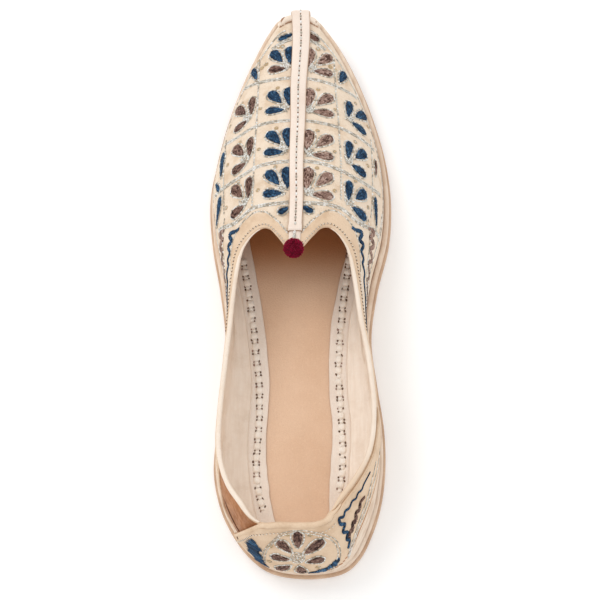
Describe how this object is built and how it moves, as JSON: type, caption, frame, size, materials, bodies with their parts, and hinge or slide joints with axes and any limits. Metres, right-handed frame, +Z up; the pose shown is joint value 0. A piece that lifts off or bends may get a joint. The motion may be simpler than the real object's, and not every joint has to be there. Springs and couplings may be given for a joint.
{
  "type": "mojari shoe",
  "caption": "Left flat slip-on mojari with pointed upturned toe, scalloped throat, centre strip, small pompom and leather counter.",
  "frame": {"origin": "centre of the bounding box on the ground plane under the sole", "axes": "+Y from heel to toe, +X to the inner side of this left shoe, +Z up"},
  "size_m": [0.085, 0.2709, 0.0638],
  "materials": {
    "tan_leather": "satin",
    "cream_leather": "satin",
    "sand_leather": "matte",
    "strip_leather": "matte",
    "insole_leather": "satin",
    "crimson_felt": "matte"
  },
  "bodies": {
    "root": {"outsole": "tan_leather", "midsole": "cream_leather", "upper": "sand_leather", "heel_counter": "sand_leather", "counter_rim": "sand_leather", "topline_piping_left": "cream_leather", "topline_piping_right": "cream_leather", "centre_strip": "strip_leather", "insole": "insole_leather", "sock_border": "cream_leather", "pompom": "crimson_felt"}
  },
  "joints": []
}
